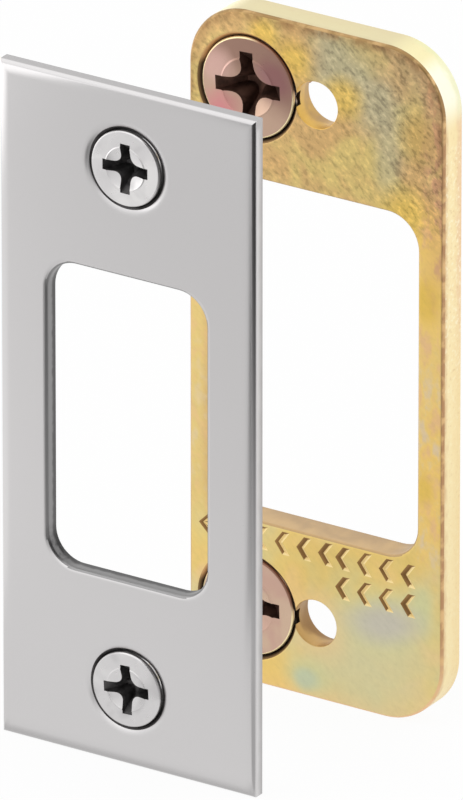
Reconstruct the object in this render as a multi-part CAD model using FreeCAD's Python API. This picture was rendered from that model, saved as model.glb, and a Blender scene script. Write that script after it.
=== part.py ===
import FreeCAD, Part
import math
import os

# Door strike in two layers: a cover plate over a thicker reinforcement plate, each with its own
# two flat-head screws. Sizes are in millimetres.
# +Z is up, the fronts face -Y, and the origin is midway between the two clearance holes,
# on the back face of the reinforcement plate, which lies against the door jamb.

# Outline that both plates share, so that one mortise in the jamb takes both
plate_width = 28.575
plate_height = 69.85

# Screw places, measured from the middle of a plate
screw_spacing = 53.975
reinforcement_screw_offset = 7.75

# Cover plate
cover_thickness = 1.5875
cover_rolled_edge_radius = 0.8
cover_window_width = 17.85
cover_window_height = 31.5
cover_window_corner_radius = 3.2
cover_window_edge_break = 0.25
cover_countersink_diameter = 8.5
cover_screw_hole_diameter = 6.0

# Reinforcement plate
reinforcement_thickness = 3.175
reinforcement_corner_radius = 6.5
reinforcement_edge_break = 0.35
reinforcement_window_width = 22.8
reinforcement_window_height = 35.7
reinforcement_window_corner_radius = 3.5
reinforcement_countersink_diameter = 11.1
reinforcement_screw_hole_diameter = 6.1
cover_screw_clearance = 0.295

# Screws
countersink_angle = 82.0
seat_clearance = 0.03
tip_flat_diameter = 0.5

cover_screw_head_diameter = 7.8
cover_screw_head_land = 0.5
cover_screw_head_edge_break = 0.15
cover_screw_shank_diameter = 4.17
cover_screw_length = 15.9
cover_screw_tip_length = 5.2
cover_screw_recess_span = 4.9
cover_screw_recess_depth = 2.0
cover_screw_wing_width = 1.05
cover_screw_core_width = 2.5

reinforcement_screw_head_diameter = 10.35
reinforcement_screw_head_land = 0.38
reinforcement_screw_head_edge_break = 0.18
reinforcement_screw_shank_diameter = 5.49
reinforcement_screw_length = 15.9
reinforcement_screw_tip_length = 5.6
reinforcement_screw_recess_span = 7.1
reinforcement_screw_recess_depth = 2.5
reinforcement_screw_wing_width = 1.3
reinforcement_screw_core_width = 3.4

# Foot of a screw's cross recess, as a share of its width at the top
recess_foot_share = 0.42

# Layout: the cover stands drawn off, in front of the reinforcement plate and to one side
cover_standoff = 22.5
cover_side_shift = 7.05

# Places that follow from the sizes
half_angle = math.radians(countersink_angle / 2)
reinforcement_front = -reinforcement_thickness
cover_front = reinforcement_front - cover_standoff
cover_middle = -cover_side_shift
clearance_hole_diameter = cover_screw_shank_diameter + 2 * cover_screw_clearance
into_the_jamb = FreeCAD.Vector(0, 1, 0)
same_place = 1e-6


def on_plane(edge, y):
    """True where a whole edge lies at this distance along Y."""
    box = edge.BoundBox
    return abs(box.YMin - y) < same_place and abs(box.YMax - y) < same_place


def slab(width, height, front, thickness, middle, corner_radius=0.0):
    """An upright plate with its front face at this Y, its four corners rounded if asked."""
    corner = FreeCAD.Vector(middle - width / 2, front, -height / 2)
    plate = Part.makeBox(width, thickness, height, corner)
    if corner_radius > 0:
        corners = [edge for edge in plate.Edges if edge.BoundBox.YLength > thickness / 2]
        plate = plate.makeFillet(corner_radius, corners)
    return plate


def window_through(plate, width, height, front, thickness, middle, corner_radius, edge_break):
    """Cut the bolt window through a plate and break the window's front edge."""
    cutter = slab(width, height, front - thickness, 3 * thickness, middle, corner_radius)
    pierced = plate.cut(cutter)
    rim = []
    for edge in pierced.Edges:
        centre = edge.BoundBox.Center
        beside = abs(centre.x - middle) <= width / 2 + same_place
        level = abs(centre.z) <= height / 2 + same_place
        if beside and level and on_plane(edge, front):
            rim.append(edge)
    return pierced.makeChamfer(edge_break, rim)


def hole_cutter(x, z, front, thickness, diameter):
    """A plain round hole right through a plate."""
    start = FreeCAD.Vector(x, front - thickness, z)
    return Part.makeCylinder(diameter / 2, 3 * thickness, start, into_the_jamb)


def countersink_cutter(x, z, front, rim_diameter):
    """The cone that seats a flat head, opened a little in front of the face for a clean cut."""
    overrun = 0.1 * rim_diameter
    mouth_radius = rim_diameter / 2 + overrun * math.tan(half_angle)
    cone_length = mouth_radius / math.tan(half_angle)
    mouth = FreeCAD.Vector(x, front - overrun, z)
    return Part.makeCone(mouth_radius, 0, cone_length, mouth, into_the_jamb)


def tapered_bar(top, half_length, foot_half_length, half_width, foot_half_width, depth):
    """A four-sided plug that narrows as it goes down from a head's top, on the Y axis."""
    return Part.makeWedge(-half_length, top, -half_width, -foot_half_width, -foot_half_length,
                          half_length, top + depth, half_width, foot_half_width, foot_half_length)


def recess_cutter(top, span, depth, wing_width, core_width):
    """A cross recess: two tapering bars, and a core that cuts the corners between them."""
    foot_span = recess_foot_share * span
    foot_core = recess_foot_share * core_width
    bar = tapered_bar(top, span / 2, foot_span / 2, wing_width / 2, wing_width / 2, depth)
    across = bar.copy()
    across.rotate(FreeCAD.Vector(0, 0, 0), into_the_jamb, 90)
    core = tapered_bar(top, core_width / 2, foot_core / 2, core_width / 2, foot_core / 2, depth)
    core.rotate(FreeCAD.Vector(0, 0, 0), into_the_jamb, 45)
    return bar.fuse([across, core])


def flat_head_screw(rim_diameter, head_diameter, head_land, head_edge_break, shank_diameter, length,
                    tip_length, recess_span, recess_depth, wing_width, core_width):
    """A flat-head wood screw on the Y axis, seated in a countersink whose rim is at Y = 0."""
    head = head_diameter / 2
    shank = shank_diameter / 2
    tip = tip_flat_diameter / 2
    edge = (rim_diameter / 2 - head) / math.tan(half_angle) - seat_clearance / math.sin(half_angle)
    top = edge - head_land
    neck = edge + (head - shank) / math.tan(half_angle)
    end = top + length
    outline = [(0, top), (head - head_edge_break, top), (head, top + head_edge_break), (head, edge),
               (shank, neck), (shank, end - tip_length), (tip, end), (0, end), (0, top)]
    section = Part.makePolygon([FreeCAD.Vector(radius, y, 0) for radius, y in outline])
    turned = Part.Face(section).revolve(FreeCAD.Vector(0, 0, 0), into_the_jamb, 360)
    return turned.cut(recess_cutter(top, recess_span, recess_depth, wing_width, core_width))


def screw_pair(screw, x, front):
    """Two like screws, one above the other, as separate solids of one group."""
    pair = []
    for side in (1, -1):
        placed = screw.copy()
        placed.translate(FreeCAD.Vector(x, front, side * screw_spacing / 2))
        pair.append(placed)
    return Part.makeCompound(pair)


def cover_plate():
    plate = slab(plate_width, plate_height, cover_front, cover_thickness, cover_middle)
    front_edges = [edge for edge in plate.Edges if on_plane(edge, cover_front)]
    plate = plate.makeFillet(cover_rolled_edge_radius, front_edges)
    plate = window_through(plate, cover_window_width, cover_window_height, cover_front, cover_thickness,
                           cover_middle, cover_window_corner_radius, cover_window_edge_break)
    for side in (1, -1):
        z = side * screw_spacing / 2
        plate = plate.cut([
            hole_cutter(cover_middle, z, cover_front, cover_thickness, cover_screw_hole_diameter),
            countersink_cutter(cover_middle, z, cover_front, cover_countersink_diameter)])
    return plate


def reinforcement_plate():
    plate = slab(plate_width, plate_height, reinforcement_front, reinforcement_thickness, 0,
                 reinforcement_corner_radius)
    front_edges = [edge for edge in plate.Edges if on_plane(edge, reinforcement_front)]
    plate = plate.makeChamfer(reinforcement_edge_break, front_edges)
    plate = window_through(plate, reinforcement_window_width, reinforcement_window_height,
                           reinforcement_front, reinforcement_thickness, 0,
                           reinforcement_window_corner_radius, reinforcement_edge_break)
    screw_x = -reinforcement_screw_offset
    for side in (1, -1):
        z = side * screw_spacing / 2
        plate = plate.cut([
            hole_cutter(0, z, reinforcement_front, reinforcement_thickness, clearance_hole_diameter),
            hole_cutter(screw_x, z, reinforcement_front, reinforcement_thickness,
                        reinforcement_screw_hole_diameter),
            countersink_cutter(screw_x, z, reinforcement_front, reinforcement_countersink_diameter)])
    return plate


def cover_screws():
    screw = flat_head_screw(
        cover_countersink_diameter, cover_screw_head_diameter, cover_screw_head_land,
        cover_screw_head_edge_break, cover_screw_shank_diameter, cover_screw_length,
        cover_screw_tip_length, cover_screw_recess_span, cover_screw_recess_depth,
        cover_screw_wing_width, cover_screw_core_width)
    return screw_pair(screw, cover_middle, cover_front)


def reinforcement_screws():
    screw = flat_head_screw(
        reinforcement_countersink_diameter, reinforcement_screw_head_diameter,
        reinforcement_screw_head_land, reinforcement_screw_head_edge_break,
        reinforcement_screw_shank_diameter, reinforcement_screw_length,
        reinforcement_screw_tip_length, reinforcement_screw_recess_span,
        reinforcement_screw_recess_depth, reinforcement_screw_wing_width,
        reinforcement_screw_core_width)
    return screw_pair(screw, -reinforcement_screw_offset, reinforcement_front)


nodes = {
    "cover_plate": cover_plate(),
    "cover_screws": cover_screws(),
    "reinforcement_plate": reinforcement_plate(),
    "reinforcement_screws": reinforcement_screws(),
}

os.makedirs("parts", exist_ok=True)
for name, shape in nodes.items():
    shape.exportStep("parts/" + name + ".step")
    print(name, "valid" if shape.isValid() else "not valid", len(shape.Solids), "solids",
          round(shape.Volume, 1), "mm3")
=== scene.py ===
import math

import bmesh
import bpy
from mathutils import Matrix, Vector


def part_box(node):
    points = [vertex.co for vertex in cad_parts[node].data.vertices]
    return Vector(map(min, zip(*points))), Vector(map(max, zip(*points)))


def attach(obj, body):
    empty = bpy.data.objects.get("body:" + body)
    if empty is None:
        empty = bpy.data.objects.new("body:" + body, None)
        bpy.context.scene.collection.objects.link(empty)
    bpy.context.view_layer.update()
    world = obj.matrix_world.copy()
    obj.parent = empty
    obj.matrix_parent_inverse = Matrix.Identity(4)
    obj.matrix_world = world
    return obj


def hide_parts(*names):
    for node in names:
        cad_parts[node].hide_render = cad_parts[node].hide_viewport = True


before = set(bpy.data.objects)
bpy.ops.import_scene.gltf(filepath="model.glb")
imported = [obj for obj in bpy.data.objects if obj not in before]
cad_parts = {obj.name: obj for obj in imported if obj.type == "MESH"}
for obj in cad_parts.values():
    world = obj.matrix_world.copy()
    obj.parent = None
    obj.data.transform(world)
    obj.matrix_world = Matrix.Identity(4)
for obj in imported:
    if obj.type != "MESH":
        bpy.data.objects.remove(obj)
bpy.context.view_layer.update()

# Reinforcement plate
# A thick steel plate, blanked and punched, then zinc plated and dipped in yellow chromate. It lies on
# the jamb behind the cover, and marks stamped under its window show which way round it goes.
mm = 0.001
clear = 1.0 * mm
whisker = 0.002 * mm
into_jamb = Vector((0, 1, 0))

reinforcement_low, reinforcement_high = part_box("reinforcement_plate")
reinforcement_front = reinforcement_low.y
reinforcement_back = reinforcement_high.y
reinforcement_corner = 6.5 * mm
reinforcement_edge = 0.35 * mm
reinforcement_hole_roll = 0.12 * mm
reinforcement_rim_roll = 0.32 * mm
reinforcement_breakout = 0.45 * mm
reinforcement_window = (22.8 * mm, 35.7 * mm)
reinforcement_window_corner = 3.5 * mm
reinforcement_rim = 11.3 * mm
reinforcement_hole = 6.1 * mm
clearance_hole = 4.76 * mm
screw_spacing = 53.975 * mm
reinforcement_screw_x = -7.75 * mm
countersink_slope = math.radians(82 / 2)
sheared_share = 0.3
turning_steps = 72
bright_roll = math.cos(math.radians(33))
upright_limit = 0.1
level_limit = 0.9
plate_crease = 35
split_columns = [-9 * mm, 0.0]
split_rows = [31 * mm, 22 * mm, 0.0]

stamp_depth = 0.17 * mm
stamp_draft = 0.27 * mm
stroke = 0.62 * mm
mark_height = 2.4 * mm
mark_width = 1.7 * mm
mark_pitch = 2.45 * mm
upper_row = -19.45 * mm
lower_row = -22.55 * mm
group_starts = (-6.2 * mm, 3.1 * mm)
marks_in_group = 4
arrow_length = 5.2 * mm
arrow_x = -10.6 * mm
notch_half_width = 0.4 * mm
notch_half_height = 1.0 * mm
notch_depth = 0.9 * mm
(side_wall, window_wall, upper_bore, lower_bore, gap_wall, lit_groove, shaded_groove,
 rolled_edge) = range(1, 9)


def block(low, high):
    """A box between two corners."""
    bm = bmesh.new()
    bmesh.ops.create_cube(bm, size=1)
    bmesh.ops.scale(bm, vec=high - low, verts=bm.verts)
    bmesh.ops.translate(bm, vec=(low + high) / 2, verts=bm.verts)
    return bm


def through_edges(bm):
    """The edges that run through a plate from front to back."""
    return [edge for edge in bm.edges if abs(edge.verts[0].co.y - edge.verts[1].co.y) > whisker]


def face_edges(bm, y):
    """The edges that lie wholly at one distance along Y."""
    return [edge for edge in bm.edges if all(abs(vert.co.y - y) < whisker for vert in edge.verts)]


def round_edges(bm, edges, radius, segments):
    """Round some edges of a mesh."""
    bmesh.ops.bevel(bm, geom=edges, offset=radius, segments=segments, profile=0.5, affect="EDGES",
                    material=-1)


def split(bm, direction, places):
    """Part a mesh along planes, so that its large flats become small ones that shade cleanly."""
    for place in places:
        everything = bm.verts[:] + bm.edges[:] + bm.faces[:]
        bmesh.ops.bisect_plane(bm, geom=everything, dist=whisker / 10, plane_co=place * direction,
                               plane_no=direction)


def grown_cap(bm, cap, middle, y, growth):
    """Carry a cutter's end face on to another distance along Y, grown about the window's middle."""
    reach = bmesh.ops.extrude_face_region(bm, geom=[cap])["geom"]
    bm.faces.remove(cap)
    verts = [item for item in reach if isinstance(item, bmesh.types.BMVert)]
    half_x = max(abs(vert.co.x - middle) for vert in verts)
    half_z = max(abs(vert.co.z) for vert in verts)
    factor = Vector(((half_x + growth) / half_x, 1, (half_z + growth) / half_z))
    about = Matrix.Translation((-middle, 0, 0))
    bmesh.ops.scale(bm, vec=factor, space=about, verts=verts)
    bmesh.ops.translate(bm, vec=(0, y - verts[0].co.y, 0), verts=verts)
    return [item for item in reach if isinstance(item, bmesh.types.BMFace)][0]


def window_cutter(size, corner, rim, middle, front, back, wall):
    """The punch for a bolt window. Its mouth flares in a quarter oval, rim wide and deep, which rolls
    the window's rim over. Its steep sides carry the number of the wall's material."""
    half_width = size[0] / 2
    half_height = size[1] / 2
    rim_width, rim_depth = rim
    bm = block(Vector((middle - half_width, front + rim_depth, -half_height)),
               Vector((middle + half_width, back + clear, half_height)))
    round_edges(bm, through_edges(bm), corner, segments=12)
    cap = min(bm.faces, key=lambda face: face.calc_center_median().y)
    steps = 8
    grown = 0.0
    for step in range(1, steps + 1):
        turn = step / steps * math.pi / 2
        growth = rim_width * (1 - math.cos(turn))
        depth = rim_depth * (1 - math.sin(turn))
        cap = grown_cap(bm, cap, middle, front + depth - whisker, growth - grown)
        grown = growth
    grown_cap(bm, cap, middle, front - clear, 0.0)
    bmesh.ops.recalc_face_normals(bm, faces=bm.faces)
    for face in bm.faces:
        face.material_index = 0 if abs(face.normal.y) > bright_roll else wall
    return bm


def turned(profile):
    """A body turned about the Y axis from (radius, y) points, the first and last on the axis."""
    bm = bmesh.new()
    verts = [bm.verts.new((radius, y, 0)) for radius, y in profile]
    edges = [bm.edges.new(pair) for pair in zip(verts, verts[1:])]
    bmesh.ops.spin(bm, geom=verts + edges, axis=into_jamb, angle=2 * math.pi, steps=turning_steps,
                   use_merge=True)
    bmesh.ops.remove_doubles(bm, verts=bm.verts, dist=whisker)
    bmesh.ops.recalc_face_normals(bm, faces=bm.faces)
    return bm


def rounded_mouth(radius, slope, roll, front):
    """Points down a hole's rolled rim, from the plate's face to a wall this far off the hole's axis."""
    fall = math.pi / 2 - slope
    start = radius + roll * math.tan(fall / 2)
    steps = 6
    points = []
    for step in range(steps + 1):
        turn = fall * step / steps
        points.append((start - roll * math.sin(turn), front + roll * (1 - math.cos(turn)) - whisker))
    return points


def hole_cutter(rim, hole, slope, roll, breakout, front, back, x, z, wall):
    """The tool for a screw hole with a rolled rim, countersunk where the rim is wider than the hole.
    The hole opens by the breakout towards the back, as a punched hole does."""
    mouth = rounded_mouth(rim / 2, slope, roll, front)
    profile = [(0, front - clear), (mouth[0][0], front - clear)] + mouth
    if rim > hole:
        profile.append((hole / 2, front + (rim - hole) / 2 / math.tan(slope)))
    wall_start = profile[-1][1]
    sheared = wall_start + sheared_share * (back - wall_start)
    profile += [(hole / 2, sheared), (hole / 2 + breakout, back), (hole / 2 + breakout, back + clear),
                (0, back + clear)]
    bm = turned(profile)
    mouth_end = mouth[-1][1] - whisker
    for face in bm.faces:
        rolled = face.calc_center_median().y < mouth_end and abs(face.normal.y) > bright_roll
        face.material_index = 0 if rolled else wall
    bmesh.ops.translate(bm, vec=(x, 0, z), verts=bm.verts)
    return bm


def stamp(bm, outline, x, z, front):
    """Add one stamped mark to a punch: its outline at the plate's face, and a smaller floor below it."""
    verts = [bm.verts.new((x + across, front - clear, z + up)) for across, up in outline]
    face = bm.faces.new(verts)
    reach = bmesh.ops.extrude_face_region(bm, geom=[face], use_keep_orig=True)["geom"]
    lowered = [item for item in reach if isinstance(item, bmesh.types.BMVert)]
    bmesh.ops.translate(bm, vec=clear * into_jamb, verts=lowered)
    floor = [item for item in reach if isinstance(item, bmesh.types.BMFace)][0]
    bmesh.ops.recalc_face_normals(bm, faces=bm.faces)
    bmesh.ops.inset_region(bm, faces=[floor], thickness=stamp_draft, depth=stamp_depth,
                           use_even_offset=True)
    for face in bm.faces:
        face.material_index = lit_groove if face.normal.x - face.normal.z > 0 else shaded_groove


def chevron(width, height):
    """Outline of a thick chevron that points to -X."""
    across = width / 2
    up = height / 2
    along = stroke * math.hypot(2 * across - stroke, up) / up
    return [(-across, 0), (across - along, up), (across, up),
            (along - across, 0), (across, -up), (across - along, -up)]


def arrow(length, height):
    """Outline of an open arrow that points to -X: a chevron with a shaft."""
    across = length / 2
    up = height / 2
    half_stroke = stroke / 2
    barb = up - across
    heel = barb + stroke * math.sqrt(2)
    joint = heel - up + half_stroke
    return [(-across, 0), (barb, up), (heel, up), (joint, half_stroke), (across, half_stroke),
            (across, -half_stroke), (joint, -half_stroke), (heel, -up), (barb, -up)]


def notch_cutter(x, z, front):
    """The small break between a countersink and the hole beside it: a diamond cut into the front."""
    bm = bmesh.new()
    corners = ((-notch_half_width, 0), (0, notch_half_height), (notch_half_width, 0),
               (0, -notch_half_height))
    face = bm.faces.new([bm.verts.new((x + across, front - clear, z + up)) for across, up in corners])
    reach = bmesh.ops.extrude_face_region(bm, geom=[face], use_keep_orig=True)["geom"]
    lowered = [item for item in reach if isinstance(item, bmesh.types.BMVert)]
    bmesh.ops.translate(bm, vec=(clear + notch_depth) * into_jamb, verts=lowered)
    bmesh.ops.recalc_face_normals(bm, faces=bm.faces)
    for face in bm.faces:
        face.material_index = gap_wall
    return bm


def as_object(name, bm, materials):
    """Put a finished bmesh into the scene as an object with these materials."""
    mesh = bpy.data.meshes.new(name)
    bm.to_mesh(mesh)
    bm.free()
    for material in materials:
        mesh.materials.append(material)
    made = bpy.data.objects.new(name, mesh)
    bpy.context.scene.collection.objects.link(made)
    return made


def carve(piece, cutters):
    """Take the cutters out of a piece. The walls that they leave keep the cutters' material numbers."""
    tools = []
    for number, bm in enumerate(cutters):
        tool = as_object("cutter_%d" % number, bm, piece.data.materials)
        cut = piece.modifiers.new(tool.name, "BOOLEAN")
        cut.operation = "DIFFERENCE"
        cut.solver = "EXACT"
        cut.object = tool
        tools.append(tool)
    depsgraph = bpy.context.evaluated_depsgraph_get()
    carved = bpy.data.meshes.new_from_object(piece.evaluated_get(depsgraph))
    piece.modifiers.clear()
    piece.data = carved
    for tool in tools:
        bpy.data.objects.remove(tool)


def smooth_with_creases(piece, crease_degrees):
    """Shade a piece smooth, with its flats kept flat and its edges crisp past an angle."""
    bm = bmesh.new()
    bm.from_mesh(piece.data)
    for face in bm.faces:
        face.smooth = True
    for edge in bm.edges:
        edge.smooth = edge.calc_face_angle(math.pi) < math.radians(crease_degrees)
    bm.to_mesh(piece.data)
    bm.free()
    weighted = piece.modifiers.new("flat faces", "WEIGHTED_NORMAL")
    weighted.keep_sharp = True


class Socket:
    """An output of a shader node. Sums on it add Math nodes to its material."""

    def __init__(self, tree, output):
        self.tree = tree
        self.output = output

    def node(self, kind, settings, values, result=0):
        """Add a node of any kind: its settings first, then its sockets' values or links."""
        made = self.tree.nodes.new(kind)
        for name, setting in settings.items():
            setattr(made, name, setting)
        for name, value in values.items():
            if isinstance(value, Socket):
                self.tree.links.new(value.output, made.inputs[name])
            else:
                made.inputs[name].default_value = value
        return Socket(self.tree, made.outputs[result])

    def math(self, operation, first, second):
        """Add one Math node."""
        return self.node("ShaderNodeMath", {"operation": operation}, {0: first, 1: second})

    def __add__(self, other):
        return self.math("ADD", self, other)

    __radd__ = __add__

    def __sub__(self, other):
        return self.math("SUBTRACT", self, other)

    def __rsub__(self, other):
        return self.math("SUBTRACT", other, self)

    def __mul__(self, other):
        return self.math("MULTIPLY", self, other)

    __rmul__ = __mul__


def new_finish(name):
    """An empty material, and the Object coordinates that its patterns read."""
    material = bpy.data.materials.new(name)
    material.use_nodes = True
    tree = material.node_tree
    tree.nodes.clear()
    coordinates = tree.nodes.new("ShaderNodeTexCoord")
    return material, Socket(tree, coordinates.outputs["Object"])


def close_with(place, surface):
    """Close a material with its surface shader."""
    output = place.tree.nodes.new("ShaderNodeOutputMaterial")
    place.tree.links.new(surface.output, output.inputs["Surface"])


def metal(place, colour, roughness, metallic, bump=None, strength=0.0, height=0.0):
    """Close a material with one metal shader, with a bump if it has one."""
    values = {"Base Color": colour, "Roughness": roughness, "Metallic": metallic}
    if bump is not None:
        values["Normal"] = place.node("ShaderNodeBump", {},
                                      {"Strength": strength, "Distance": height, "Height": bump})
    close_with(place, place.node("ShaderNodeBsdfPrincipled", {}, values))


def paint(red, green, blue):
    """A colour from 0 to 255 per channel, as it looks on a screen, in Blender's linear values."""
    linear = []
    for channel in (red, green, blue):
        share = channel / 255
        linear.append(share / 12.92 if share <= 0.04045 else ((share + 0.055) / 1.055) ** 2.4)
    return (*linear, 1.0)


def cloud(place, size, detail, twist=0.0):
    """Soft patches of about this size."""
    return place.node("ShaderNodeTexNoise", {}, {"Vector": place, "Scale": 1 / size, "Detail": detail,
                                                 "Distortion": twist})


def turned_to(place, degrees, stretch):
    """The same place, turned in the plate's plane and stretched, for grain that runs one way."""
    return place.node("ShaderNodeMapping", {"vector_type": "TEXTURE"},
                      {"Vector": place, "Rotation": (0, math.radians(degrees), 0), "Scale": stretch})


def fade(value, low, high):
    """0 at low and 1 at high, with a smooth change between."""
    return value.node("ShaderNodeMapRange", {"interpolation_type": "SMOOTHSTEP"},
                      {"Value": value, "From Min": low, "From Max": high})


def blend(mask, under, over):
    """One colour over another by a mask."""
    return mask.node("ShaderNodeMix", {"data_type": "RGBA"}, {0: mask, 6: under, 7: over}, result=2)


def dimmed(colour, factor):
    """A colour made darker or lighter by a factor."""
    return colour.node("ShaderNodeVectorMath", {"operation": "SCALE"}, {0: colour, "Scale": factor})


def spot(place, x, z, radius, wobble, stretch=1.0, degrees=0.0):
    """A soft patch on the front of a plate, round or drawn out one way, its border moved by a wobble."""
    centred = place.node("ShaderNodeMapping", {"vector_type": "TEXTURE"},
                         {"Vector": place, "Location": (x, reinforcement_front, z),
                          "Rotation": (0, math.radians(degrees), 0), "Scale": (stretch, 1, 1)})
    apart = place.node("ShaderNodeVectorMath", {"operation": "LENGTH"}, {0: centred}, result="Value")
    return fade(apart + wobble, radius * 1.4, radius * 0.3)


def axes(place):
    """The three coordinates of a place."""
    apart = place.node("ShaderNodeSeparateXYZ", {}, {"Vector": place})
    outputs = apart.output.node.outputs
    return [Socket(place.tree, outputs[axis]) for axis in ("X", "Y", "Z")]


def zinc_face():
    """Yellow chromate on the flat of the plate: colours that drift, and a fine rolled grain higher up."""
    yellow = paint(231, 200, 118)
    beige = paint(220, 203, 148)
    warm_beige = paint(216, 192, 126)
    peach = paint(238, 200, 146)
    orange = paint(240, 202, 112)
    pale_green = paint(204, 207, 160)
    beige_green = paint(210, 203, 160)
    blue_green = paint(190, 200, 172)
    lilac_grey = paint(196, 190, 176)
    lilac = paint(216, 198, 176)
    pink = paint(228, 184, 142)
    yellow_olive = paint(213, 189, 120)
    olive_grey = paint(182, 175, 143)
    tan = paint(206, 170, 114)
    corner_tan = paint(188, 162, 120)
    gold = paint(194, 158, 94)
    pink_tan = paint(206, 158, 120)
    bright_yellow = paint(226, 190, 90)
    brown = paint(150, 112, 72)

    material, place = new_finish("yellow_zinc_face")
    x, _, z = axes(place)
    drift = cloud(place, 9 * mm, 2, 0.4)
    patches = cloud(place, 5 * mm, 2, 0.5)
    mottle = cloud(turned_to(place, 0, (0.8, 1, 1.5)), 1.3 * mm, 3)
    speckle = cloud(turned_to(place, 40, (1.5, 1, 0.9)), 0.42 * mm, 2)
    streaks = cloud(turned_to(place, 40, (2.2, 1, 0.8)), 0.8 * mm, 2)
    wobble = (drift - 0.5) * (9 * mm)
    high = fade(z + wobble * 0.6, 13 * mm, 20 * mm)
    low = fade(z + wobble * 0.5, -16 * mm, -22 * mm)

    colour = blend(fade(drift, 0.4, 0.66), yellow, beige)
    colour = blend(low * fade(patches, 0.35, 0.8) * 0.5, colour, pale_green)
    colour = blend(low * fade(patches, 0.5, 0.15) * 0.6, colour, peach)
    colour = blend(fade(z, -32.5 * mm, -34.8 * mm) * 0.6, colour, peach)
    ragged = wobble * 0.25
    colour = blend(spot(place, 6.0 * mm, -30.0 * mm, 6.0 * mm, ragged, 1.3) * 0.8, colour, beige_green)
    colour = blend(spot(place, 12.0 * mm, -22.5 * mm, 2.8 * mm, ragged, 0.5) * 0.7, colour, pale_green)
    colour = blend(spot(place, -6.0 * mm, -32.0 * mm, 3.6 * mm, ragged, 1.3, 14) * 0.7, colour, orange)
    colour = blend(spot(place, 11.2 * mm, -17.6 * mm, 2.6 * mm, ragged, 0.9) * 0.5, colour, bright_yellow)
    colour = blend(spot(place, 0.2 * mm, -27.0 * mm, 3.6 * mm, ragged) * 0.6, colour, peach)
    colour = blend(spot(place, 7.9 * mm, -25.0 * mm, 3.6 * mm, ragged, 1.7, -13) * 0.6, colour, pale_green)
    colour = blend(spot(place, 7.9 * mm, -25.1 * mm, 2.3 * mm, ragged, 1.9, -13) * 0.9, colour, lilac_grey)
    colour = blend(spot(place, -1.0 * mm, -32.6 * mm, 2.0 * mm, ragged, 1.2) * 0.7, colour, pale_green)
    colour = blend(spot(place, -1.2 * mm, -33.0 * mm, 1.1 * mm, ragged, 1.2) * 0.8, colour, blue_green)

    slant = 0.62 * x + z + wobble * 0.8
    band = fade(slant, 27 * mm, 32 * mm) * fade(slant, 39 * mm, 34.5 * mm)
    band = band * fade(x, -2.5 * mm, 1.5 * mm) * fade(x, 11.5 * mm, 7.5 * mm)
    corner = fade(x + z + wobble, 37 * mm, 44 * mm)
    upper = blend(fade(patches, 0.4, 0.62), yellow_olive, tan)
    upper = blend(band * 0.85, upper, olive_grey)
    upper = blend(spot(place, 8.0 * mm, 22.5 * mm, 3.4 * mm, wobble * 0.3, 0.5) * 0.6, upper, olive_grey)
    upper = blend(corner * 0.8, upper, corner_tan)
    upper = blend(spot(place, 11.6 * mm, 26.0 * mm, 2.8 * mm, ragged, 0.8) * 0.7, upper, gold)
    colour = blend(high, colour, upper)
    colour = blend(spot(place, 3.0 * mm, 28.5 * mm, 2.3 * mm, ragged) * 0.75, colour, bright_yellow)
    colour = blend(spot(place, -2.6 * mm, 31.0 * mm, 2.4 * mm, ragged) * 0.75, colour, bright_yellow)
    colour = blend(spot(place, -5.8 * mm, 32.9 * mm, 1.7 * mm, ragged) * 0.75, colour, bright_yellow)
    colour = blend(spot(place, 10.4 * mm, 17.6 * mm, 3.4 * mm, ragged) * 0.75, colour, bright_yellow)

    aside = x.math("ABSOLUTE", x, 0.0)
    beside = fade(aside, 10.6 * mm, 12.0 * mm) * fade(z.math("ABSOLUTE", z, 0.0), 21 * mm, 15 * mm)
    right = beside * fade(x, -5 * mm, 5 * mm)
    left = beside * fade(x, 5 * mm, -5 * mm)
    colour = blend(right * 0.75, colour, orange)
    colour = blend(left * 0.6, colour, warm_beige)
    colour = blend(left * fade(x + wobble * 0.15, -13.3 * mm, -12.2 * mm) * 0.7, colour, tan)
    mottled = right + left * 0.5
    colour = blend(mottled * fade(mottle, 0.48, 0.72) * 0.7, colour, pink)
    colour = blend(mottled * fade(mottle, 0.54, 0.28) * fade(z, 8 * mm, -2 * mm) * 0.7, colour, lilac)
    colour = blend(spot(place, 12.4 * mm, 9.6 * mm, 2.4 * mm, ragged, 0.6) * 0.9, colour, bright_yellow)
    colour = blend(spot(place, 12.2 * mm, -10.0 * mm, 1.7 * mm, ragged, 0.6) * 0.8, colour, bright_yellow)
    edging = fade(x + wobble * 0.3, 11.2 * mm, 13.4 * mm) * fade(z + wobble, 6 * mm, 15 * mm)
    colour = blend(edging * (0.35 + 0.6 * fade(mottle, 0.42, 0.6)), colour, pink_tan)
    reach_x = aside.math("MAXIMUM", aside - (reinforcement_high.x - reinforcement_corner), 0.0)
    reach_z = z.math("MAXIMUM", z - (reinforcement_high.z - reinforcement_corner), 0.0)
    outward = fade(reach_x * reach_x + reach_z * reach_z, (5.0 * mm) ** 2, (6.3 * mm) ** 2)
    border = outward * fade(z + wobble * 0.5, 18 * mm, 28 * mm) * (0.35 + 0.4 * fade(mottle, 0.4, 0.6))
    colour = blend(border, colour, brown)
    grainy = high * (0.5 + 0.2 * band + 0.3 * fade(x, 6 * mm, 10 * mm)) + 0.1
    colour = dimmed(colour, 1 - grainy * 0.38 * fade(speckle, 0.48, 0.32))
    colour = dimmed(colour, 1 + grainy * 0.3 * fade(speckle, 0.53, 0.68))
    colour = dimmed(colour, 1 - grainy * 0.16 * fade(streaks, 0.5, 0.36))
    roughness = 0.4 + high * 0.08 + (speckle - 0.5) * 0.15
    metal(place, colour, roughness, 0.75, speckle * grainy + patches * 0.2, 0.3, 0.03 * mm)
    return material


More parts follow.
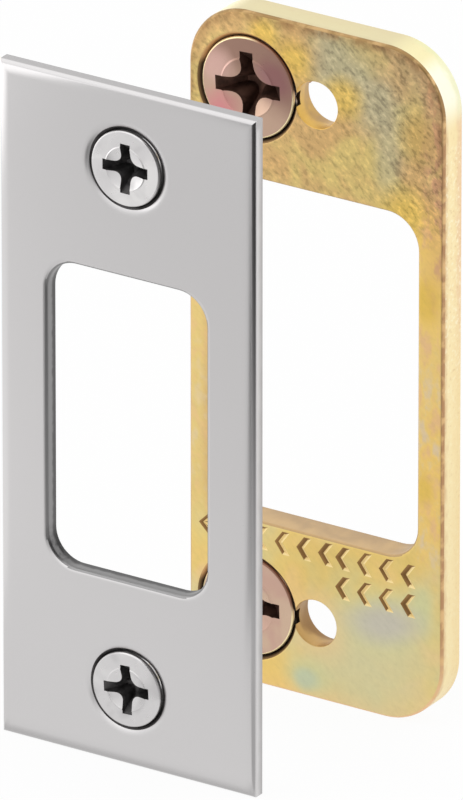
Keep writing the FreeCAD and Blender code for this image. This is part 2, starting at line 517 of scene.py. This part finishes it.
def zinc_side():
    """Yellow chromate on the plate's sheared sides: tan by the front edge, then cream, pinker behind and
    green on top, with a painted highlight, nearly white, round the upper right corner, and painted glints
    among brown flecks."""
    tan = paint(222, 190, 140)
    cream = paint(246, 228, 178)
    gold_cream = paint(242, 219, 166)
    green_cream = paint(222, 212, 170)
    brown = paint(206, 166, 112)
    pink_cream = paint(236, 204, 164)
    pale_yellow = paint(240, 231, 182)
    pale_green = paint(226, 228, 182)
    white = paint(255, 251, 228)
    material, place = new_finish("yellow_zinc_side")
    x, y, z = axes(place)
    blotch = cloud(turned_to(place, 0, (1, 1, 2)), 0.8 * mm, 3)
    speck = cloud(place, 0.4 * mm, 2)
    depth = y + (blotch - 0.5) * (1.6 * mm)
    colour = blend(fade(depth, reinforcement_front, reinforcement_front + 1.1 * mm), tan, cream)
    colour = blend(fade(depth, reinforcement_front + 1 * mm, reinforcement_back), colour, gold_cream)
    behind = fade(depth, reinforcement_back - 1.2 * mm, reinforcement_back - 0.2 * mm)
    colour = blend(behind * fade(z, 0.0, 14 * mm) * 0.8, colour, pink_cream)
    colour = blend(fade(z, 30 * mm, 34 * mm) * 0.85, colour, green_cream)
    # Painted highlight: pale yellow round the upper right corner, nearly white towards the right edge.
    corner = fade(z, 27 * mm, 30.5 * mm)
    colour = blend(corner * fade(x, 7 * mm, 10.5 * mm) * 0.9, colour, pale_yellow)
    colour = blend(corner * fade(x, 11 * mm, 13 * mm), colour, white)
    colour = blend(corner * behind * fade(x, 8 * mm, 11 * mm) * 0.6, colour, pale_green)
    # Painted glints: white flecks on the sides, mostly in their upper middle; the brown flecks are the
    # chromate's own.
    rough = (0.2 + 0.5 * fade(z, -10 * mm, 12 * mm)) * fade(z, 29 * mm, 22 * mm)
    colour = blend(rough * fade(speck, 0.47, 0.3) * 0.6, colour, white)
    colour = blend((0.15 + rough) * fade(speck, 0.58, 0.76) * 0.5, colour, brown)
    metal(place, colour, 0.38 + blotch * 0.1, 0.7, blotch, 0.06, 0.02 * mm)
    return material


def zinc_wall(name, light, dark, near, far):
    """Yellow chromate on a punched wall or a groove, that turns from one colour to another with depth."""
    material, place = new_finish(name)
    _, y, _ = axes(place)
    drift = cloud(place, 3 * mm, 3, 0.4)
    score = cloud(turned_to(place, 0, (1, 8, 1)), 0.4 * mm, 2)
    depth = fade(y + (drift - 0.5) * 2 * (far - near), near, far)
    colour = dimmed(blend(depth, light, dark), 0.92 + score * 0.16)
    metal(place, colour, 0.4 + score * 0.1, 0.75, score, 0.08, 0.02 * mm)
    return material


def screw_upward(z):
    """Height above the middle of the nearer screw of a pair."""
    return z - z.math("SIGN", z, 0.0) * (screw_spacing / 2)


def zinc_gap():
    """Chromate in the gap round a head: brown with painted shade that darkens with depth, lighter in its
    upper half, and a painted pale glimpse of the lit head in the middle of the upper of the two small
    breaks."""
    material, place = new_finish("yellow_zinc_gap")
    x, y, z = axes(place)
    above = screw_upward(z)
    # Painted shade: the gap darkens with depth, less so in its upper half.
    depth = fade(y, reinforcement_front + 0.05 * mm, reinforcement_front + 0.35 * mm)
    gap_depth_shade = blend(depth, paint(132, 102, 66), paint(52, 38, 27))
    above_gap_shading = blend(depth, paint(206, 164, 112), paint(168, 126, 88))
    colour = blend(fade(above, 1.2 * mm, 2.4 * mm), gap_depth_shade, above_gap_shading)
    # Painted light: a pale patch in the middle of the upper break stands for the lit head seen through it.
    off_middle = above.math("ABSOLUTE", above + 0.05 * mm, 0.0)
    painted_glimpse = fade(off_middle, 0.6 * mm, 0.35 * mm) * fade(x, -4 * mm, -3 * mm) * fade(z, 0.0, 10 * mm)
    painted_glimpse = painted_glimpse * fade(y, reinforcement_front + 0.9 * mm, reinforcement_front + 0.75 * mm)
    colour = blend(painted_glimpse, colour, paint(250, 238, 228))
    metal(place, colour, 0.42, 0.7)
    return material


def zinc_edge():
    """Yellow chromate on the rolled front edges: olive above, brown beside and peach below, with
    worn places."""
    olive = paint(152, 122, 78)
    brown = paint(184, 142, 102)
    peach = paint(236, 196, 152)
    worn = paint(226, 188, 134)
    material, place = new_finish("yellow_zinc_rolled_edge")
    x, _, z = axes(place)
    wear = cloud(place, 1.6 * mm, 4, 0.3)
    colour = blend(fade(z, 24 * mm, 33 * mm), brown, olive)
    colour = blend(fade(z, -24 * mm, -33 * mm), colour, peach)
    rubbed = fade(wear, 0.44, 0.64) * (0.4 + 0.5 * fade(x, 11 * mm, 14 * mm))
    metal(place, blend(rubbed, colour, worn), 0.42, 0.75)
    return material


zinc_materials = [
    zinc_face(),
    zinc_side(),
    zinc_wall("yellow_zinc_window", paint(186, 156, 112), paint(166, 139, 102), reinforcement_front,
              reinforcement_back),
    zinc_wall("yellow_zinc_upper_bore", paint(230, 190, 100), paint(196, 160, 104), reinforcement_front,
              reinforcement_back),
    zinc_wall("yellow_zinc_lower_bore", paint(204, 166, 102), paint(160, 122, 72), reinforcement_front,
              reinforcement_back),
    zinc_gap(),
    zinc_wall("yellow_zinc_lit_groove", paint(250, 226, 164), paint(232, 200, 132), reinforcement_front,
              reinforcement_front + stamp_depth),
    zinc_wall("yellow_zinc_shaded_groove", paint(152, 114, 66), paint(126, 92, 52), reinforcement_front,
              reinforcement_front + stamp_depth),
    zinc_edge(),
]
plate = block(reinforcement_low, reinforcement_high)
round_edges(plate, through_edges(plate), reinforcement_corner, segments=20)
round_edges(plate, face_edges(plate, reinforcement_front), reinforcement_edge, segments=4)
for face in plate.faces:
    facing = abs(face.normal.y)
    if facing < upright_limit:
        face.material_index = side_wall
    elif facing < level_limit:
        face.material_index = rolled_edge
mark_lines = [group_start + (number - 0.5) * mark_pitch
              for group_start in group_starts for number in range(marks_in_group + 1)]
split(plate, Vector((1, 0, 0)), split_columns + mark_lines)
between_rows = (upper_row + lower_row) / 2
split(plate, Vector((0, 0, 1)), split_rows + [between_rows, lower_row - mark_height])
reinforcement = as_object("reinforcement_plate_dressed", plate, zinc_materials)

reinforcement_tools = [window_cutter(reinforcement_window, reinforcement_window_corner,
                                     (reinforcement_edge, reinforcement_edge), 0.0,
                                     reinforcement_front, reinforcement_back, window_wall)]
for side, bore_wall in ((1, upper_bore), (-1, lower_bore)):
    height = side * screw_spacing / 2
    reinforcement_tools += [
        hole_cutter(clearance_hole, clearance_hole, 0.0, reinforcement_hole_roll, reinforcement_breakout,
                    reinforcement_front, reinforcement_back, 0.0, height, bore_wall),
        hole_cutter(reinforcement_rim, reinforcement_hole, countersink_slope, reinforcement_rim_roll, 0.0,
                    reinforcement_front, reinforcement_back, reinforcement_screw_x, height, gap_wall),
        notch_cutter(-clearance_hole / 2, height, reinforcement_front)]
marks = bmesh.new()
stamp(marks, arrow(arrow_length, mark_height), arrow_x, upper_row, reinforcement_front)
for row, group_start in ((upper_row, group_starts[0]), (upper_row, group_starts[1]),
                         (lower_row, group_starts[1])):
    for number in range(marks_in_group):
        stamp(marks, chevron(mark_width, mark_height), group_start + number * mark_pitch, row,
              reinforcement_front)
reinforcement_tools.append(marks)
carve(reinforcement, reinforcement_tools)
smooth_with_creases(reinforcement, plate_crease)
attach(reinforcement, "root")
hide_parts("reinforcement_plate")

# Reinforcement screws
# Two flat-head wood screws of hardened steel, forged with a cross recess, thread rolled, zinc
# plated with a pink cast. They sit flush in the reinforcement plate and run into the wall stud.
reinforcement_screw_low, reinforcement_screw_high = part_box("reinforcement_screws")
recess_wall, head_edge = 1, 2
dish_slope = math.radians(14)
recess_mouth_growth = 1.04
recess_mouth_depth = 0.2 * mm
recess_foot_share = 0.42
thread_root_share = 0.7
thread_gap = 0.3 * mm
thread_segments = 28
screw_crease = 18
head_top_limit = 0.99


def cross_cutter(top, span, depth, wing, corner):
    """The punch for a cross recess: a star with rounded inner corners, a broken mouth, a narrow foot."""
    bm = bmesh.new()
    verts = []
    inner = []
    for quarter in range(4):
        turn = Matrix.Rotation(quarter * math.pi / 2, 3, "Y")
        for across, up in ((span / 2, wing / 2), (span / 2, -wing / 2), (wing / 2, -wing / 2)):
            verts.append(bm.verts.new(turn @ Vector((across, top - clear, up))))
        inner.append(verts[-1])
    bm.faces.new(verts)
    bmesh.ops.bevel(bm, geom=inner, offset=corner, segments=7, profile=0.5, affect="VERTICES",
                    material=-1)
    cap = bm.faces[:][0]
    for y, size in ((top, recess_mouth_growth), (top + recess_mouth_depth, 1.0),
                    (top + depth, recess_foot_share)):
        reach = bmesh.ops.extrude_face_region(bm, geom=[cap], use_keep_orig=y == top)["geom"]
        if y != top:
            bm.faces.remove(cap)
        lowered = [item for item in reach if isinstance(item, bmesh.types.BMVert)]
        present = max(abs(vert.co.x) for vert in lowered)
        factor = span / 2 * size / present
        bmesh.ops.scale(bm, vec=(factor, 1, factor), verts=lowered)
        bmesh.ops.translate(bm, vec=(0, y - lowered[0].co.y, 0), verts=lowered)
        cap = [item for item in reach if isinstance(item, bmesh.types.BMFace)][0]
    bmesh.ops.recalc_face_normals(bm, faces=bm.faces)
    for face in bm.faces:
        face.material_index = recess_wall
    return bm


def wind_thread(bm, root, crest, pitch, start, end, tip):
    """Wind a thread round a shank, run in from nothing and tapering with the screw's point."""
    turns = (end - start) / pitch
    steps = round(turns * thread_segments)
    sunk_root = root * 0.96
    half_ridge = 0.36 * pitch
    run_in_length = 1.5 * pitch
    finest_taper = 0.02
    outline = [(sunk_root, start - half_ridge), (crest, start), (sunk_root, start + half_ridge)]
    first = len(bm.verts)
    verts = [bm.verts.new((radius, y, 0)) for radius, y in outline]
    ridge = bm.faces.new(verts)
    bmesh.ops.spin(bm, geom=[ridge] + ridge.edges[:] + verts, axis=into_jamb, angle=2 * math.pi * turns,
                   dvec=(end - start) / steps * into_jamb, steps=steps)
    bm.verts.ensure_lookup_table()
    for vert in bm.verts[first:]:
        radius = math.hypot(vert.co.x, vert.co.z)
        run_in = min(1, max(0, (vert.co.y - start) / run_in_length))
        taper = min(1, max(finest_taper, (end - vert.co.y) / tip))
        wanted = (sunk_root + (radius - sunk_root) * run_in) * taper
        vert.co.x *= wanted / radius
        vert.co.z *= wanted / radius
        vert.co.y = min(vert.co.y, end)


def flat_head_screw(name, sizes, top, end, materials):
    """One flat-head screw on the Y axis, its head's top and its point at these distances."""
    head = sizes["head"] / 2
    crest = sizes["shank"] / 2
    root = crest * thread_root_share
    dish = sizes["dish"] / 2
    dish_depth = dish * math.tan(dish_slope)
    ridge = sizes["ridge"]
    flat = top + ridge / 2
    land = top + sizes["land"]
    neck = land + (head - crest) / math.tan(countersink_slope)
    throat = neck + (crest - root)
    profile = [(0, top + dish_depth), (dish - ridge, flat), (dish, top), (dish + ridge, flat),
               (head, flat), (head, land), (crest, neck), (root, throat), (root, end - sizes["tip"]),
               (0, end)]
    bm = turned(profile)
    rim = [edge for edge in face_edges(bm, flat)
           if all(abs(math.hypot(vert.co.x, vert.co.z) - head) < whisker for vert in edge.verts)]
    round_edges(bm, rim, sizes["edge"], segments=6)
    for face in bm.faces:
        centre = face.calc_center_median()
        outside = math.hypot(centre.x, centre.z) > head - sizes["edge"]
        if outside and upright_limit < abs(face.normal.y) < head_top_limit and centre.y < land:
            face.material_index = head_edge
    screw = as_object(name, bm, materials)
    carve(screw, [cross_cutter(top, sizes["recess"], sizes["recess_depth"], sizes["wing"],
                               sizes["wing_corner"])])
    bm = bmesh.new()
    bm.from_mesh(screw.data)
    wind_thread(bm, root, crest, sizes["pitch"], throat + thread_gap, end, sizes["tip"])
    bmesh.ops.recalc_face_normals(bm, faces=bm.faces)
    bm.to_mesh(screw.data)
    bm.free()
    return screw


def screw_pair(name, screw, x, turns):
    """Two like screws, one over the other, each with its recess turned as its driver left it."""
    bm = bmesh.new()
    for side, degrees in zip((1, -1), turns):
        first = len(bm.verts)
        bm.from_mesh(screw.data)
        bm.verts.ensure_lookup_table()
        fresh = bm.verts[first:]
        turn = Matrix.Rotation(math.radians(degrees), 3, "Y")
        bmesh.ops.rotate(bm, matrix=turn, verts=fresh)
        bmesh.ops.translate(bm, vec=(x, 0, side * screw_spacing / 2), verts=fresh)
    pair = as_object(name, bm, screw.data.materials)
    bpy.data.objects.remove(screw)
    smooth_with_creases(pair, screw_crease)
    return pair


def dark_metal(name, colour, patch):
    """Plating painted dark as shade, for places that hardly see light, as in a screw's recess or the gap
    round a head.
    """
    material, place = new_finish(name)
    unevenness = cloud(place, patch, 3)
    # Painted shade: the colour falls to less than half in patches.
    deep = (colour[0] * 0.45, colour[1] * 0.45, colour[2] * 0.45, 1.0)
    metal(place, blend(fade(unevenness, 0.35, 0.65), deep, colour), 0.4 + unevenness * 0.2, 0.85)
    return material


def pink_finish():
    """Zinc with a pink cast: grey tan, with pink and violet where the chromate ran thin."""
    material, place = new_finish("pink_zinc")
    drift = cloud(place, 4 * mm, 2, 0.6)
    fine = cloud(place, 0.5 * mm, 3)
    wobble = (drift - 0.5) * (3 * mm)
    x, _, z = axes(place)
    colour = blend(fade(drift, 0.42, 0.62), paint(198, 163, 146), paint(204, 176, 152))
    colour = blend(fade(z, -5 * mm, 5 * mm), colour, paint(186, 156, 136))
    upper_right = fade(0.5 * x + z + wobble, 21.6 * mm, 25.6 * mm)
    colour = blend(upper_right, colour, paint(147, 116, 102))
    violet = spot(place, -4.8 * mm, 28.4 * mm, 2.2 * mm, wobble)
    colour = blend(violet * 0.85, colour, paint(138, 96, 96))
    pale_pink = spot(place, -11.4 * mm, 28.4 * mm, 2.0 * mm, wobble)
    colour = blend(pale_pink * 0.85, colour, paint(202, 164, 154))
    rose = spot(place, -10.8 * mm, 24.0 * mm, 2.4 * mm, wobble)
    colour = blend(rose * 0.85, colour, paint(202, 126, 132))
    metal(place, colour, 0.3 + (fine - 0.5) * 0.12, 0.9, fine, 0.05, 0.02 * mm)
    return material


def pink_edge_finish():
    """The rim of a head: a painted cream highlight, and painted brown shade at the upper right."""
    material, place = new_finish("pink_zinc_edge")
    x, _, z = axes(place)
    edge_jitter = cloud(place, 1.5 * mm, 2)
    # Painted light: a cream highlight round the rim, turning to painted brown shade at its upper right.
    upper = fade(screw_upward(z) + (edge_jitter - 0.5) * (2 * mm), -0.6 * mm, 1.6 * mm)
    upper_right = upper * fade(x, reinforcement_screw_x - 0.5 * mm, reinforcement_screw_x + 1.5 * mm)
    metal(place, blend(upper_right, paint(248, 230, 182), paint(150, 112, 94)), 0.32 + edge_jitter * 0.1, 0.85)
    return material


pink_zinc = pink_finish()
pink_recess = dark_metal("pink_zinc_recess", paint(104, 74, 62), 1.2 * mm)
pink_edge = pink_edge_finish()
reinforcement_screw_sizes = {
    "head": 10.35 * mm, "land": 0.38 * mm, "edge": 0.24 * mm, "shank": 5.49 * mm, "tip": 5.6 * mm,
    "pitch": 2.0 * mm, "recess": 7.1 * mm, "recess_depth": 2.5 * mm, "wing": 1.42 * mm,
    "wing_corner": 1.55 * mm, "dish": 5.8 * mm, "ridge": 0.18 * mm}
screw = flat_head_screw("reinforcement_screw", reinforcement_screw_sizes, reinforcement_screw_low.y,
                        reinforcement_screw_high.y, [pink_zinc, pink_recess, pink_edge])
reinforcement_screws = screw_pair("reinforcement_screws_dressed", screw, reinforcement_screw_x, (-3, -2))
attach(reinforcement_screws, "root")
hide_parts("reinforcement_screws")

# Cover plate
# The plate that shows on a fitted door: thin steel, blanked with its front edges rolled over, the bolt
# window punched through, satin nickel plated. Two screws hold it over the reinforcement plate.
cover_low, cover_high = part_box("cover_plate")
cover_middle = (cover_low.x + cover_high.x) / 2
cover_front = cover_low.y
cover_back = cover_high.y
cover_roll = (1.22 * mm, 0.58 * mm)
cover_window = (17.85 * mm, 31.5 * mm)
cover_window_corner = 3.2 * mm
cover_window_roll = (0.55 * mm, 0.5 * mm)
cover_rim = 8.65 * mm
cover_hole = 6.0 * mm
cover_rim_roll = 1.5 * mm
nickel_wall_index, nickel_gap_index, nickel_side_index = range(1, 4)


def nickel_face():
    """Satin nickel: an even pale grey, with painted light making it a shade lighter towards one corner,
    and a very fine tooth.
    """
    material, place = new_finish("satin_nickel_face")
    x, _, z = axes(place)
    tooth = cloud(place, 0.15 * mm, 2)
    drift = cloud(place, 16 * mm, 2)
    # Painted light: the face turns a shade lighter towards its lower left corner.
    towards = fade((drift - 0.5) * (8 * mm) - 0.7 * x - z, -32 * mm, 38 * mm)
    colour = blend(towards, paint(193, 191, 191), paint(203, 201, 201))
    metal(place, colour, 0.29 + (tooth - 0.5) * 0.06, 1.0)
    return material


def nickel_wall():
    """Nickel over punched walls: burnished near the front, and torn and darker towards the back."""
    material, place = new_finish("satin_nickel_wall")
    x, y, z = axes(place)
    tear = cloud(place, 0.8 * mm, 3)
    torn = fade(y + (tear - 0.5) * (0.5 * mm), cover_front + 0.8 * mm, cover_front + 1.2 * mm)
    colour = blend(torn, paint(142, 141, 141), paint(92, 91, 91))
    die_marks = fade(x, -13.0 * mm, -15.2 * mm) * fade(z, -11.5 * mm, -14.5 * mm)
    colour = dimmed(colour, 1 - die_marks * (0.25 + 0.3 * fade(tear, 0.4, 0.6)))
    metal(place, colour, 0.36, 1.0)
    return material


def nickel_side():
    """Nickel on the sheared sides: a painted highlight by the front edge that fades towards the back, and
    duller on top.
    """
    material, place = new_finish("satin_nickel_side")
    _, y, z = axes(place)
    tear = cloud(turned_to(place, 0, (1, 1, 3)), 0.7 * mm, 3)
    # Painted highlight: bright by the front edge, fading darker towards the back.
    depth = fade(y + (tear - 0.5) * (0.5 * mm), cover_front + 0.53 * mm, cover_back)
    colour = blend(depth, paint(212, 210, 210), paint(176, 174, 174))
    colour = blend(fade(z, 33.5 * mm, 34.5 * mm), colour, paint(183, 181, 181))
    metal(place, colour, 0.33, 1.0)
    return material


def rolled_slab(low, high, roll):
    """A plate whose front edges roll over in a quarter oval, as wide and as deep as asked."""
    roll_width, roll_depth = roll
    stretch = roll_width / roll_depth
    bm = block(Vector((low.x, high.y - stretch * (high.y - low.y), low.z)), high)
    front = min(vert.co.y for vert in bm.verts)
    round_edges(bm, face_edges(bm, front), roll_width, segments=14)
    back_plane = Matrix.Translation((0, -high.y, 0))
    bmesh.ops.scale(bm, vec=(1, 1 / stretch, 1), space=back_plane, verts=bm.verts)
    return bm


nickel_gap = dark_metal("satin_nickel_gap", paint(84, 82, 82), 1.5 * mm)
slab = rolled_slab(cover_low, cover_high, cover_roll)
for face in slab.faces:
    if abs(face.normal.y) < upright_limit:
        face.material_index = nickel_side_index
cover = as_object("cover_plate_dressed", slab, [nickel_face(), nickel_wall(), nickel_gap, nickel_side()])
cover_tools = [window_cutter(cover_window, cover_window_corner, cover_window_roll, cover_middle,
                             cover_front, cover_back, nickel_wall_index)]
for side in (1, -1):
    cover_tools.append(hole_cutter(cover_rim, cover_hole, countersink_slope, cover_rim_roll, 0.0,
                                   cover_front, cover_back, cover_middle, side * screw_spacing / 2,
                                   nickel_gap_index))
carve(cover, cover_tools)
smooth_with_creases(cover, plate_crease)
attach(cover, "root")
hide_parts("cover_plate")

# Cover screws
# Two flat-head wood screws with a cross recess, bright nickel plated to go with the cover. They pass
# the clearance holes of the reinforcement plate when the strike is put together.
cover_screw_low, cover_screw_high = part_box("cover_screws")


def screw_finish(name, base, bloom, shade, patch):
    """Plating on a screw, drifting between three near colours."""
    material, place = new_finish(name)
    drift = cloud(place, patch, 2, 0.6)
    fine = cloud(place, 0.5 * mm, 3)
    colour = blend(fade(drift, 0.5, 0.68), base, bloom)
    colour = blend(fade(drift, 0.48, 0.32), colour, shade)
    metal(place, colour, 0.3 + (fine - 0.5) * 0.15, 0.9, fine, 0.06, 0.02 * mm)
    return material


bright_nickel = screw_finish("bright_nickel", paint(206, 204, 204), paint(220, 218, 217),
                             paint(190, 188, 188), 4 * mm)
nickel_recess = dark_metal("bright_nickel_recess", paint(102, 100, 100), 1.0 * mm)
cover_screw_sizes = {
    "head": 7.65 * mm, "land": 0.5 * mm, "edge": 0.2 * mm, "shank": 4.17 * mm, "tip": 5.2 * mm,
    "pitch": 1.7 * mm, "recess": 4.9 * mm, "recess_depth": 2.0 * mm, "wing": 1.05 * mm,
    "wing_corner": 0.85 * mm, "dish": 4.3 * mm, "ridge": 0.12 * mm}
screw = flat_head_screw("cover_screw", cover_screw_sizes, cover_screw_low.y, cover_screw_high.y,
                        [bright_nickel, nickel_recess, bright_nickel])
cover_screws = screw_pair("cover_screws_dressed", screw, cover_middle, (0, -3))
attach(cover_screws, "root")
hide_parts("cover_screws")

# Floor and light
# A white table that both plates stand on, in a white room that is brighter overhead, with one soft lamp.
# Cards round the plates and on the table, which the camera doesn't see, give the metal its reflections.
floor_half = 1.5
floor_level = reinforcement_low.z
paper_white = (0.96, 0.96, 0.96, 1)
table_glow_share = 0.93
room_light = 0.9
overhead_light = 0.6
behind_dimming = 0.4
lamp_size = 0.8
lamp_watts = 0.9
lamp_place = (-0.42, -0.5, 0.72)
dark_end = -60 * mm
light_end = -190 * mm
strips_end = -58 * mm
dark_card_x = 28 * mm


def ray_kinds(tree):
    """1 for what the camera, a reflection or a transmission sees, and 1 for what a reflection sees."""
    path = tree.nodes.new("ShaderNodeLightPath")
    camera_ray, glossy, transmission = [Socket(tree, path.outputs["Is %s Ray" % kind])
                                        for kind in ("Camera", "Glossy", "Transmission")]
    return camera_ray.math("MINIMUM", camera_ray + glossy + transmission, 1.0), glossy


def card(name, low, high, glow, spills=False):
    """A glowing card for reflections alone, or one whose light also spills on what is near."""
    material, place = new_finish(name)
    strength = glow(place) if callable(glow) else glow
    close_with(place, place.node("ShaderNodeEmission", {}, {"Color": (1, 1, 1, 1), "Strength": strength}))
    made = as_object(name, block(Vector(low), Vector(high)), [material])
    made.visible_camera = False
    made.visible_shadow = False
    made.visible_transmission = False
    made.visible_diffuse = spills


world = bpy.data.worlds.new("white_room")
bpy.context.scene.world = world
world.use_nodes = True
background = world.node_tree.nodes["Background"]
background.inputs["Color"].default_value = (1, 1, 1, 1)
direction = Socket(world.node_tree, world.node_tree.nodes.new("ShaderNodeTexCoord").outputs["Generated"])
_, along, upward = axes(direction)
seen, reflected = ray_kinds(world.node_tree)
dome = overhead_light * fade(upward, -0.1, 0.75) - behind_dimming * fade(along, 0.2, 0.8)
strength = room_light + seen * (1 - room_light) + reflected * dome
world.node_tree.links.new(strength.output, background.inputs["Strength"])

white_table, place = new_finish("white_table")
seen, _ = ray_kinds(place.tree)
paper = place.node("ShaderNodeBsdfDiffuse", {}, {"Color": paper_white})
glow = place.node("ShaderNodeEmission", {}, {"Color": (1, 1, 1, 1), "Strength": 1.0})
close_with(place, place.node("ShaderNodeMixShader", {}, {0: seen * table_glow_share, 1: paper, 2: glow}))
sheet = bmesh.new()
bmesh.ops.create_grid(sheet, x_segments=1, y_segments=1, size=floor_half)
bmesh.ops.translate(sheet, vec=(0, 0, floor_level), verts=sheet.verts)
as_object("white_table", sheet, [white_table])

lamp = bpy.data.lights.new("soft_lamp", "AREA")
lamp.shape = "SQUARE"
lamp.size = lamp_size
lamp.energy = lamp_watts
lamp_object = bpy.data.objects.new("soft_lamp", lamp)
lamp_object.location = lamp_place
lamp_object.rotation_euler = (-lamp_object.location).to_track_quat("-Z", "Y").to_euler()
lamp_object.visible_glossy = False
bpy.context.scene.collection.objects.link(lamp_object)


def dark_card_glow(place):
    """Dark in front of the cover and higher up, and lighter beside it, far forward and lower down."""
    _, y, z = axes(place)
    dark = 0.04 + 0.75 * fade(z, 14 * mm, -46 * mm) + 0.2 * fade(y, -29 * mm, -22 * mm)
    return dark + (1 - dark) * fade(y, dark_end, light_end)


def dark_floor_glow(place):
    """Dark on the right and further forward, and as light as the table on the left."""
    x, y, _ = axes(place)
    dark = 0.03 + 0.5 * fade(y, -150 * mm, dark_end)
    return dark + (1 - dark) * fade(x, 0.0, -16 * mm)


def contact_shadow_glow(place):
    """A painted shadow for reflections: dim where the cover stands on the table, and as light as the table
    further forward.
    """
    _, y, _ = axes(place)
    return 0.72 + 0.28 * fade(y, cover_front - 0.3 * mm, cover_front - 2.4 * mm)


def side_shadow_glow(place):
    """A painted shadow for reflections: dim beside the cover's foot, and as light as the table further
    forward.
    """
    _, y, _ = axes(place)
    return 0.56 + 0.44 * fade(y, -46 * mm, strips_end)


def left_card_glow(place):
    """Brightest from the height of the upper screws upwards."""
    _, _, z = axes(place)
    return 1.2 + 0.8 * fade(z, 12 * mm, 22 * mm)


card("card_behind_cover", (cover_low.x, cover_back + 1.5 * mm, floor_level + 1 * mm),
     (cover_high.x, cover_back + 1.7 * mm, cover_high.z), 0.95, spills=True)
card("dark_card", (dark_card_x, light_end, floor_level), (dark_card_x + 1 * mm, -21 * mm, 120 * mm),
     dark_card_glow)
card("dark_floor", (-17 * mm, -260 * mm, floor_level + 0.3 * mm),
     (dark_card_x, strips_end, floor_level + 0.4 * mm), dark_floor_glow)
card("contact_strip", (cover_low.x - 1 * mm, cover_front - 5 * mm, floor_level + 0.02 * mm),
     (cover_high.x + 1 * mm, cover_front + 0.3 * mm, floor_level + 0.03 * mm), contact_shadow_glow)
card("side_strip", (cover_high.x + 1.2 * mm, strips_end, floor_level + 0.02 * mm),
     (dark_card_x, cover_front, floor_level + 0.03 * mm), side_shadow_glow)
card("bright_card", (22 * mm, 60 * mm, floor_level), (160 * mm, 61 * mm, 80 * mm), 1.1)
card("left_card", (-47 * mm, -58 * mm, floor_level), (-46 * mm, 100 * mm, 40 * mm), left_card_glow)

# Camera
# A long lens, a little to the right and above, as in the photograph.
azimuth = math.radians(32.393)
elevation = math.radians(23.949)
camera_distance = 2.0
aim_right = 9.99 * mm
aim_up = 2.913 * mm
camera = bpy.data.cameras.new("camera")
camera.lens = 950.8
camera.sensor_width = 36
camera_object = bpy.data.objects.new("camera", camera)
back = Vector((math.sin(azimuth) * math.cos(elevation), -math.cos(azimuth) * math.cos(elevation),
               math.sin(elevation)))
right = Vector((math.cos(azimuth), math.sin(azimuth), 0))
up = back.cross(right)
aim = Vector((cover_middle, cover_front, 0)) + right * aim_right + up * aim_up
camera_object.location = aim + back * camera_distance
camera_object.rotation_euler = (-back).to_track_quat("-Z", "Y").to_euler()
bpy.context.scene.collection.objects.link(camera_object)
bpy.context.scene.camera = camera_object

bpy.context.scene.view_settings.view_transform = "Standard"
